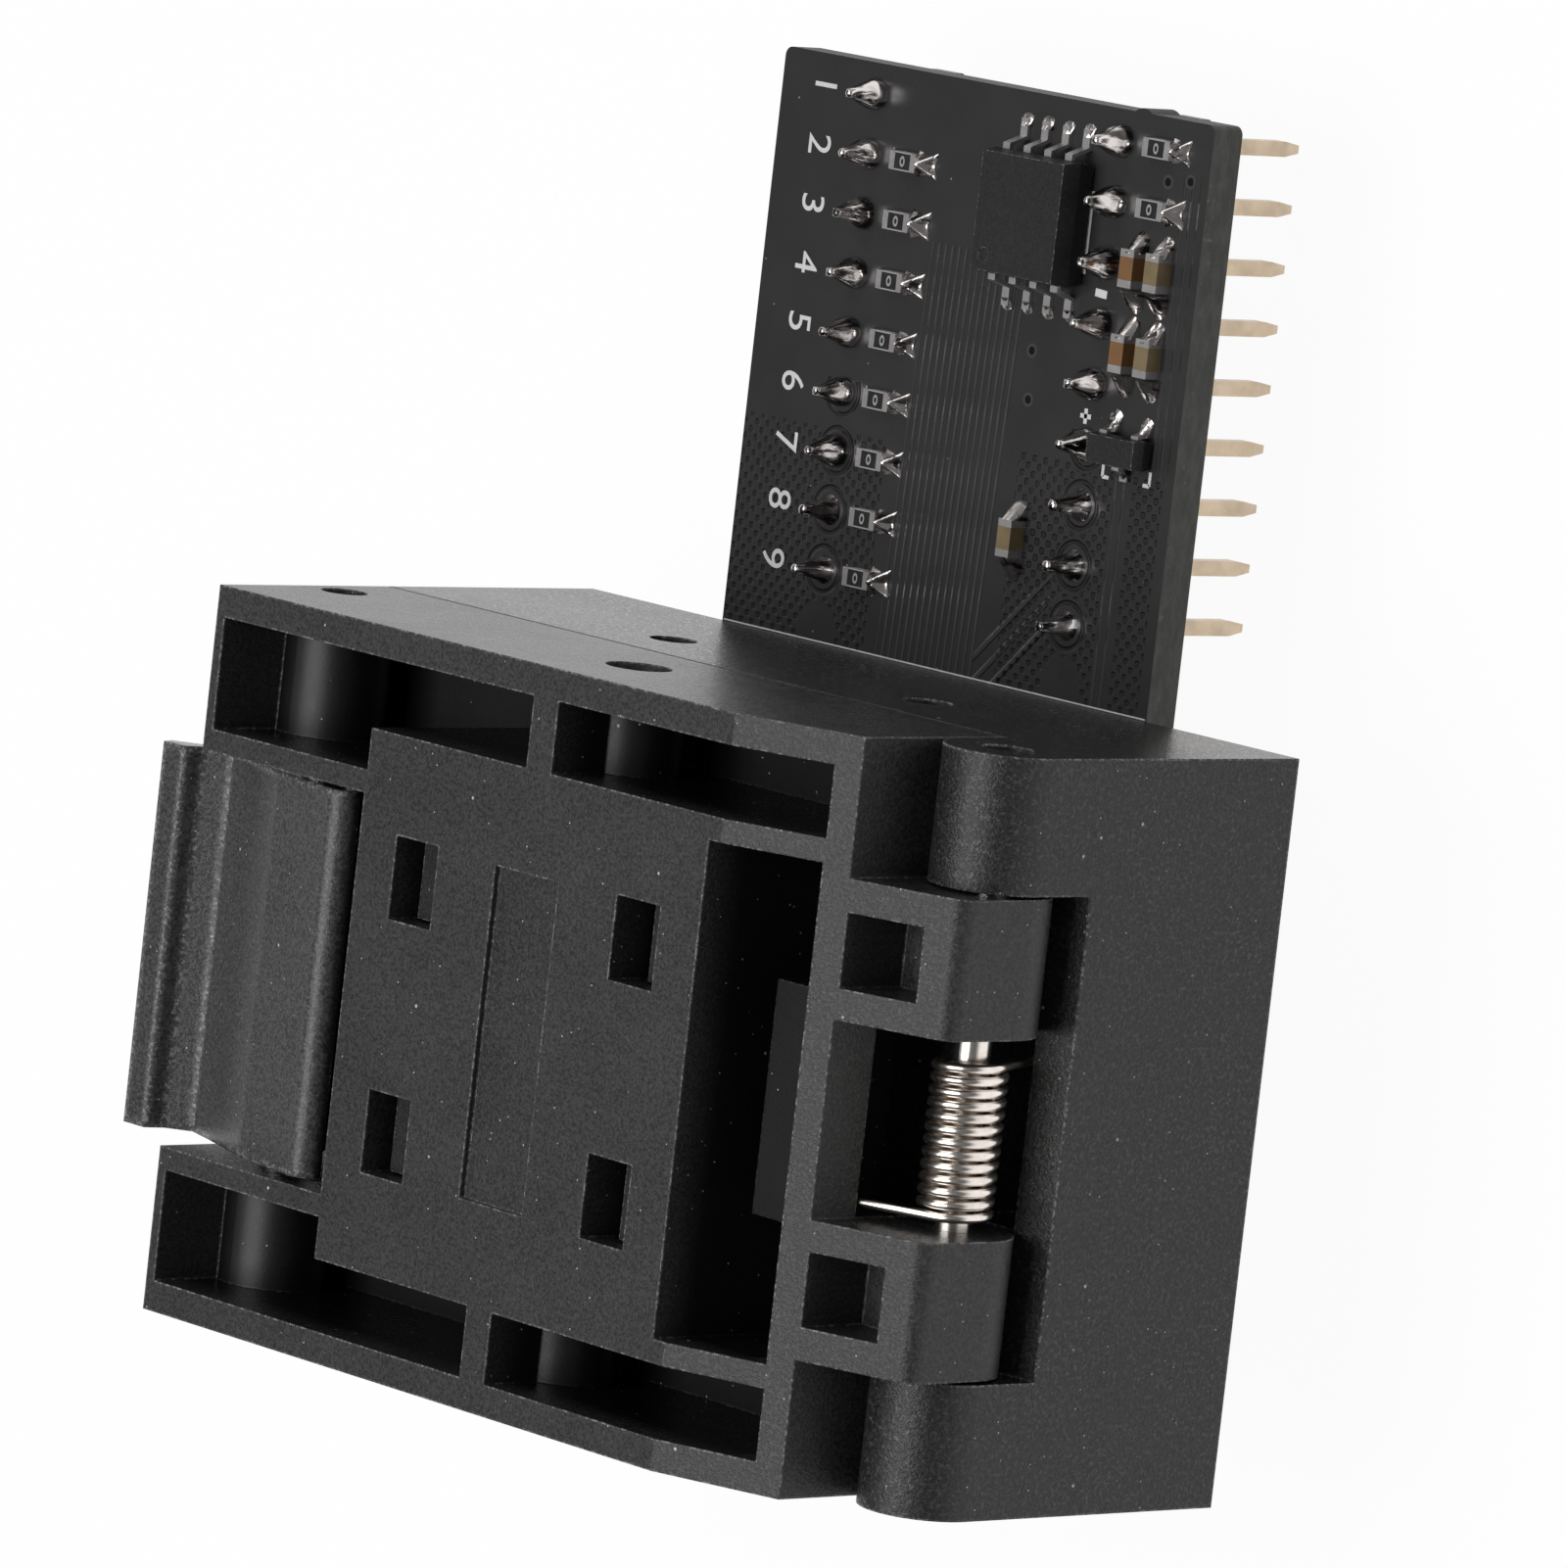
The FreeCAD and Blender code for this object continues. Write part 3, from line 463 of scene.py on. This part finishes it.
for node, material in {
    "adapter_board": board_mask,
    "header_strip_left": bar_plastic,
    "header_strip_right": bar_plastic,
    "header_pins_left": pin_gold,
    "header_pins_right": pin_gold,
    "solder_joints": solder,
    "interface_chip": chip_plastic,
    "interface_chip_leads": tinned,
    "transistor": chip_plastic,
    "transistor_leads": tinned,
    "link_resistors": glaze,
    "resistor_terminals": tinned,
    "capacitors": brown_ceramic,
    "capacitor_terminals": tinned,
    "base_housing": base_plastic,
    "base_screws": steel,
    "contact_block": inner_plastic,
    "contact_probes": contact_gold,
    "nest_plate": inner_plastic,
    "nest_springs": nickel,
    "pressure_plate": inner_plastic,
    "lid_housing": lid_plastic,
    "latch_lever": latch_plastic,
    "latch_springs": nickel,
    "latch_pin": steel,
    "press_pin": steel,
    "hinge_pin": nickel,
    "hinge_spring": nickel,
}.items():
    mesh = nodes[node].data
    mesh.materials.clear()
    mesh.materials.append(material)


def deselect():
    bpy.ops.object.select_all(action="DESELECT")


# Active object as a finished piece: transforms applied, named, painted, and given its body
def finish_piece(name, material, body):
    piece = bpy.context.object
    bpy.ops.object.transform_apply(location=True, rotation=True, scale=True)
    piece.name = name
    piece.data.name = name
    piece.data.materials.clear()
    piece.data.materials.append(material)
    bpy.ops.object.shade_smooth_by_angle(angle=math.radians(40))
    if body:
        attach(piece, body)
    return piece


def apply_modifier(kind, **settings):
    piece = bpy.context.object
    modifier = piece.modifiers.new(kind.lower(), kind)
    for key, value in settings.items():
        setattr(modifier, key, value)
    bpy.ops.object.modifier_apply(modifier=modifier.name)


# The open tube's end that is nearest to a point, selected in edit mode
def select_rim(near):
    bpy.ops.mesh.select_all(action="DESELECT")
    mesh = bmesh.from_edit_mesh(bpy.context.object.data)
    rims = [v for v in mesh.verts if v.is_boundary]
    closest = min((v.co - near).length for v in rims)
    for vert in rims:
        vert.select = (vert.co - near).length < closest + 0.6 * mm
    mesh.select_flush(True)
    bmesh.update_edit_mesh(bpy.context.object.data)


# Steps in one turn of a coil
coil_steps = 30


# Coil round the Z axis, drawn from a ring of wire by a screw, with straight legs where asked
def wind_coil(radius, wire, pitch, turns, start, leg_in=0, leg_out=0):
    deselect()
    turn = math.radians(start)
    bpy.ops.mesh.primitive_circle_add(vertices=12, radius=wire / 2, rotation=(math.pi / 2, 0, 0),
                                      location=(radius, 0, 0))
    bpy.ops.object.transform_apply(location=True, rotation=True)
    apply_modifier("SCREW", axis="Z", angle=2 * math.pi * turns, screw_offset=pitch * turns,
                   steps=int(turns * coil_steps), render_steps=int(turns * coil_steps),
                   use_merge_vertices=False)
    bpy.context.object.rotation_euler = (0, 0, turn)
    bpy.ops.object.transform_apply(rotation=True)
    end = math.radians(start + 360 * turns)
    legs = [(Vector((radius * math.cos(turn), radius * math.sin(turn), 0)),
             Vector((math.sin(turn), -math.cos(turn), 0)), leg_in),
            (Vector((radius * math.cos(end), radius * math.sin(end), pitch * turns)),
             Vector((-math.sin(end), math.cos(end), 0)), leg_out)]
    bpy.ops.object.mode_set(mode="EDIT")
    bpy.ops.mesh.select_mode(type="VERT")
    for root, way, reach in legs:
        select_rim(root)
        if reach:
            bpy.ops.mesh.extrude_region_move(TRANSFORM_OT_translate={"value": way * reach})
        bpy.ops.mesh.edge_face_add()
    bpy.ops.mesh.select_all(action="SELECT")
    bpy.ops.mesh.normals_make_consistent(inside=False)
    bpy.ops.object.mode_set(mode="OBJECT")
    return bpy.context.object


# Hinge spring: the leg at its -Y end turns with the lid, the one at its +Y end stays with the base
coil_radius = 1.4 * mm
coil_wire = 0.42 * mm
coil_pitch = 0.51 * mm
lid_leg_angle = 70
base_leg_angle = 26
coil_turns = 12 + (lid_leg_angle + base_leg_angle) / 360
coil_middle = -0.33 * mm
lid_leg = 3.88 * mm
base_leg = 4.6 * mm
spring = wind_coil(coil_radius, coil_wire, coil_pitch, coil_turns, -lid_leg_angle,
                   leg_in=lid_leg, leg_out=base_leg)
spring.rotation_euler = (-math.pi / 2, 0, 0)
spring.location = hinge_at + Vector((0, coil_middle - coil_pitch * coil_turns / 2, 0))
hinge_spring = finish_piece("hinge_spring_wire", nickel, None)
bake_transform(hinge_spring)
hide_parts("hinge_spring")


# Profiles of the solder round a header pin: radius and height of each ring, in mm
cone_foot = 0.72
slim_cone = [(0.7, 0.03), (0.64, 0.12), (0.57, 0.28), (0.51, 0.48), (0.45, 0.7),
             (0.37, 0.95), (0.3, 1.2), (0.25, 1.42), (0.27, 1.6), (0.2, 1.72)]
round_cone = [(0.74, 0.05), (0.76, 0.2), (0.72, 0.4), (0.62, 0.6), (0.51, 0.8),
              (0.42, 1.0), (0.34, 1.2), (0.28, 1.4), (0.24, 1.58), (0.14, 1.72)]


# Solder drawn up a header pin, a little square from the pin inside it
def solder_cone(rings):
    deselect()
    bpy.ops.mesh.primitive_circle_add(vertices=16, radius=cone_foot * mm, location=(0, 0, 0))
    bpy.ops.object.mode_set(mode="EDIT")
    bpy.ops.mesh.select_all(action="SELECT")
    radius, height = cone_foot, 0
    for wide, high in rings:
        rise = Vector((0, 0, (high - height) * mm))
        bpy.ops.mesh.extrude_region_move(TRANSFORM_OT_translate={"value": rise})
        bpy.ops.transform.resize(value=(wide / radius, wide / radius, 1))
        radius, height = wide, high
    bpy.ops.mesh.edge_face_add()
    bpy.ops.object.mode_set(mode="OBJECT")
    for vert in bpy.context.object.data.vertices:
        around = math.atan2(vert.co.y, vert.co.x)
        high = vert.co.z / mm
        square = max(0, min(1, (high - 0.15) / 0.5)) * max(0, min(1, (1.5 - high) / 0.3))
        vert.co.xy *= 1 + 0.17 * square * math.cos(4 * (around - math.pi / 4))
    apply_modifier("SUBSURF", levels=1, render_levels=1)


# Copies of the active object at each place, joined into one piece
def join_copies(name, material, body, places):
    first = bpy.context.object
    copies = []
    for matrix in places:
        copy = first.copy()
        copy.data = first.data.copy()
        copy.data.transform(matrix)
        bpy.context.scene.collection.objects.link(copy)
        copies.append(copy)
    bpy.data.objects.remove(first)
    deselect()
    for copy in copies:
        copy.select_set(True)
    bpy.context.view_layer.objects.active = copies[0]
    bpy.ops.object.join()
    return finish_piece(name, material, body)


# Places of the cones of a row, each a little turned and stretched
def cone_places(x, ys):
    places = []
    for y in ys:
        wide = dice.uniform(0.88, 1.0)
        size = Matrix.Diagonal((wide, wide * dice.uniform(0.95, 1.05), dice.uniform(0.96, 1.03), 1))
        turn = Matrix.Rotation(math.radians(dice.uniform(-9, 9)), 4, "Z")
        places.append(Matrix.Translation((x, y, face_z)) @ turn @ size)
    return places


solder_cone(slim_cone)
slim_cones = join_copies("slim_solder_cones", solder, "base",
                         cone_places(-row_half, pin_ys[:2]) + cone_places(row_half, pin_ys[:3]))
solder_cone(round_cone)
round_cones = join_copies("round_solder_cones", solder, "base",
                          cone_places(-row_half, pin_ys[2:]) + cone_places(row_half, pin_ys[3:]))
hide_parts("solder_joints")
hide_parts("solder_joints")


# Place of a small part's solder on the board, in mm, with a little chance in its size
def spot(x, y, turn=0, size=1.0):
    wide = dice.uniform(0.92, 1.08) * size
    long = dice.uniform(0.92, 1.08) * size
    high = dice.uniform(0.9, 1.0)
    place = Matrix.Translation((x * mm, y * mm, face_z))
    turned = Matrix.Rotation(math.radians(turn), 4, "Z")
    return place @ turned @ Matrix.Diagonal((wide, long, high, 1))


# Solder drawn down from a part's end to its pad, highest at y = 0, as wide as the part there
def solder_wedge(wide, reach, high, flare, crown):
    deselect()
    bpy.ops.mesh.primitive_cube_add(size=1, location=(0, 0.5, 0.5))
    bpy.ops.object.transform_apply(location=True)
    bpy.ops.object.mode_set(mode="EDIT")
    bpy.ops.mesh.select_all(action="SELECT")
    bpy.ops.mesh.subdivide(number_cuts=4)
    bpy.ops.object.mode_set(mode="OBJECT")
    for vert in bpy.context.object.data.vertices:
        u, v, w = vert.co.x * 2, vert.co.y, vert.co.z
        ridge = (1 - v) ** crown * (1 - 0.45 * abs(u) ** 1.5) + 0.03
        vert.co = (wide / 2 * u * (1 + flare * v) * mm,
                   reach * v * (1 - 0.25 * u * u) * mm,
                   high * w * ridge * mm)


# Solder standing on a square pad in four ridges that run out to its corners
def solder_star(half, high):
    deselect()
    bpy.ops.mesh.primitive_grid_add(x_subdivisions=12, y_subdivisions=12, size=2)
    bpy.ops.object.mode_set(mode="EDIT")
    bpy.ops.mesh.select_all(action="SELECT")
    bpy.ops.mesh.extrude_region_move(TRANSFORM_OT_translate={"value": (0, 0, 1)})
    bpy.ops.object.mode_set(mode="OBJECT")
    for vert in bpy.context.object.data.vertices:
        x, y, w = vert.co
        off_ridge = abs(abs(x) - abs(y))
        outward = max(abs(x), abs(y))
        rise = (1 - outward) ** (1 + off_ridge) + 0.04
        pull = 1 - 0.3 * off_ridge
        vert.co = ((x * pull - 0.35 * (1 - outward)) * half * mm,
                   y * pull * half * mm,
                   w * rise * high * mm)
    apply_modifier("SUBSURF", levels=1, render_levels=1)


# Where the solder starts, in mm from the middle of its part
star_out, part_end, toe_out = 1.14, 0.78, 3.62
lead_pitch = 1.27

resistor_spots = [(left_resistor_x, y / mm) for y in pin_ys[:8]]
resistor_spots += [(right_resistor_x, y / mm) for y in pin_ys[-2:]]
solder_star(half=0.6, high=0.72)
join_copies("resistor_solder", bright_solder, "base",
            [spot(x + star_out, y) for x, y in resistor_spots])
solder_wedge(wide=0.8, reach=0.42, high=0.4, flare=0.15, crown=2)
join_copies("resistor_near_solder", bright_solder, "base",
            [spot(x - part_end, y, 90) for x, y in resistor_spots])

ends = []
for x, y in capacitor_spots:
    ends += [spot(x, y + part_end, 0), spot(x, y - part_end, 180)]
solder_wedge(wide=0.95, reach=0.95, high=0.95, flare=-0.1, crown=0.9)
join_copies("capacitor_solder", bright_solder, "base", ends)

toes = [spot(chip_x + lead_pitch * k, chip_y + way * toe_out, 0 if way > 0 else 180)
        for k in (-1.5, -0.5, 0.5, 1.5) for way in (-1, 1)]
solder_wedge(wide=0.52, reach=0.55, high=0.34, flare=0.2, crown=1.4)
join_copies("chip_solder", bright_solder, "base", toes)
solder_wedge(wide=0.62, reach=0.85, high=0.62, flare=0.1, crown=1.1)
join_copies("transistor_solder", bright_solder, "base",
            [spot(9.2, -1.72), spot(11.1, -1.72), spot(10.15, -3.2, 180, 0.8)])


# Thickness of the white print on the board
ink_thick = 0.012 * mm


# Bar of print between two points, in mm
def ink_bar(x0, y0, x1, y1, wide):
    start = Vector((x0, y0, 0)) * mm
    end = Vector((x1, y1, 0)) * mm
    deselect()
    bpy.ops.mesh.primitive_cube_add(size=1)
    bpy.context.object.scale = ((end - start).length, wide * mm, ink_thick)
    bpy.context.object.rotation_euler = (0, 0, math.atan2(end.y - start.y, end.x - start.x))
    bpy.context.object.location = (start + end) / 2 + Vector((0, 0, face_z + ink_thick / 2))
    bpy.ops.object.transform_apply(location=True, rotation=True, scale=True)
    apply_modifier("BEVEL", width=min(wide * 0.4, 0.1) * mm, segments=2, limit_method="ANGLE")
    return bpy.context.object


# Plain number, its top towards -X
def ink_number(text, x, y, high):
    deselect()
    bpy.ops.object.text_add()
    figure = bpy.context.object
    figure.data.body = text
    figure.data.size = high * mm
    figure.data.extrude = ink_thick / 2
    figure.data.align_x = "CENTER"
    figure.data.align_y = "CENTER"
    figure.data.resolution_u = 4
    bpy.ops.object.convert(target="MESH")
    bpy.context.object.rotation_euler = (0, 0, -math.pi / 2)
    bpy.context.object.location = (x * mm, y * mm, face_z + ink_thick / 2)
    bpy.ops.object.transform_apply(location=True, rotation=True, scale=True)
    return bpy.context.object


def join_pieces(name, pieces, material, body):
    deselect()
    for piece in pieces:
        piece.select_set(True)
    bpy.context.view_layer.objects.active = pieces[0]
    bpy.ops.object.join()
    return finish_piece(name, material, body)


# Both ends and the width of each bar, in mm: a line beside the chip, a minus, a plus, two corners
# below the transistor, and the socket's edge
bars = [(6.22, 7.89, 6.22, 4.43, 0.2),
        (7.05, 3.79, 7.75, 3.74, 0.34),
        (7.0, -1.38, 7.64, -1.38, 0.2), (7.32, -1.06, 7.32, -1.7, 0.2),
        (8.72, -3.1, 8.72, -3.7, 0.16), (8.72, -3.7, 9.1, -3.7, 0.16),
        (11.55, -3.1, 11.55, -3.7, 0.16), (11.55, -3.7, 11.17, -3.7, 0.16),
        (-13.5, -13.24, 12.9, -13.24, 0.06)]
marks = [ink_bar(*bar) for bar in bars]
number_x, number_high = -10.9, 2.0
numbers = [ink_number(str(k + 1), number_x, y / mm, number_high)
           for k, y in enumerate(reversed(pin_ys))]
join_pieces("board_print", marks + numbers, ink, "base")


# Standing springs, smooth coils in the room of the CAD's
def standing_springs(name, node, body, radius, wire, turns, places):
    low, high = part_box(node)
    tall = high.z - low.z
    wind_coil(radius, wire, (tall - wire) / turns, turns, 0)
    springs = [Matrix.Translation((x, y, low.z + wire / 2)) for x, y in places]
    piece = join_copies(name, nickel, body, springs)
    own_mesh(piece)
    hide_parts(node)


nest_places = [(seat.x + sx * 7.5 * mm, seat.y + sy * 9.3 * mm)
               for sx in (-1, 1) for sy in (-1, 1)]
standing_springs("nest_spring_coils", "nest_springs", "base", radius=0.75 * mm, wire=0.25 * mm,
                 turns=3, places=nest_places)
latch_places = [(-14.9 * mm, seat.y + sy * 5 * mm) for sy in (-1, 1)]
standing_springs("latch_spring_coils", "latch_springs", "lid", radius=0.9 * mm, wire=0.3 * mm,
                 turns=5, places=latch_places)


# 1 on rays that show a surface or the background, 0 on those that carry its light to other things
def showing_rays(tree):
    path = tree.nodes.new("ShaderNodeLightPath")
    seen = Value(tree, path.outputs["Is Camera Ray"])
    for kind in ("Is Glossy Ray", "Is Transmission Ray"):
        seen = seen.most(Value(tree, path.outputs[kind]))
    return seen


# Pale floor that looks white and still takes the object's shadow
def add_floor():
    deselect()
    bpy.ops.mesh.primitive_plane_add(size=3, location=(0, 0, cad_bounds[0][2] - 0.02 * mm))
    floor = bpy.context.object
    floor.name = "floor"
    material = bpy.data.materials.new("floor_white")
    material.use_nodes = True
    tree = material.node_tree
    shader = tree.nodes["Principled BSDF"]
    shader.inputs["Base Color"].default_value = grey(0.9)
    shader.inputs["Roughness"].default_value = 0.9
    glow = tree.nodes.new("ShaderNodeEmission")
    mixer = tree.nodes.new("ShaderNodeMixShader")
    glow_share = 0.95
    tree.links.new((showing_rays(tree) * glow_share).socket, mixer.inputs[0])
    tree.links.new(shader.outputs[0], mixer.inputs[1])
    tree.links.new(glow.outputs[0], mixer.inputs[2])
    tree.links.new(mixer.outputs[0], tree.nodes["Material Output"].inputs[0])
    floor.data.materials.append(material)


def add_lamp(name, place, size, power, aim=(0, -0.01, 0.01)):
    lamp = bpy.data.lights.new(name, "AREA")
    lamp.shape = "RECTANGLE"
    lamp.size, lamp.size_y = size
    lamp.energy = power
    holder = bpy.data.objects.new(name, lamp)
    bpy.context.scene.collection.objects.link(holder)
    holder.location = place
    holder.rotation_euler = (Vector(aim) - Vector(place)).to_track_quat("-Z", "Y").to_euler()


# Soft light of one level from all sides. What shows, also in reflections, is white up to just
# above the horizon and darker higher up.
def add_world(level):
    world = bpy.data.worlds.new("studio")
    bpy.context.scene.world = world
    world.use_nodes = True
    tree = world.node_tree
    light = tree.nodes["Background"]
    light.inputs["Strength"].default_value = level
    light.inputs["Color"].default_value = grey(1)
    shown = tree.nodes.new("ShaderNodeBackground")
    shown.inputs["Color"].default_value = grey(1)
    place = tree.nodes.new("ShaderNodeTexCoord")
    split = tree.nodes.new("ShaderNodeSeparateXYZ")
    tree.links.new(place.outputs["Generated"], split.inputs[0])
    start, reach, fade = 0.02, 0.35, 2.5
    rise = (Value(tree, split.outputs[2]) - start).most(0).least(reach)
    tree.links.new((1 - rise * fade).socket, shown.inputs["Strength"])
    mixer = tree.nodes.new("ShaderNodeMixShader")
    tree.links.new(showing_rays(tree).socket, mixer.inputs[0])
    tree.links.new(light.outputs[0], mixer.inputs[1])
    tree.links.new(shown.outputs[0], mixer.inputs[2])
    tree.links.new(mixer.outputs[0], tree.nodes["World Output"].inputs[0])


# Camera fitted to the photograph: its place, and which way right and down in its picture lie
def add_camera():
    lens = bpy.data.cameras.new("photo")
    lens.sensor_width = 36
    lens.lens = 281.16
    holder = bpy.data.objects.new("photo", lens)
    bpy.context.scene.collection.objects.link(holder)
    right = Vector((0.6618, 0.1113, -0.7414))
    down = Vector((0.1684, -0.9857, 0.0023))
    ahead = right.cross(down)
    turn = Matrix((right, -down, -ahead)).transposed().to_4x4()
    holder.matrix_world = Matrix.Translation((0.37302, 0.04642, 0.35461)) @ turn
    bpy.context.scene.camera = holder


add_floor()
add_world(0.2)
add_lamp("key", (0, -0.03, 0.5), (0.36, 0.36), 2.0)
add_lamp("fill", (-0.1, 0.45, 0.45), (0.3, 0.3), 0.7)
add_camera()
bpy.context.scene.view_settings.view_transform = "Standard"
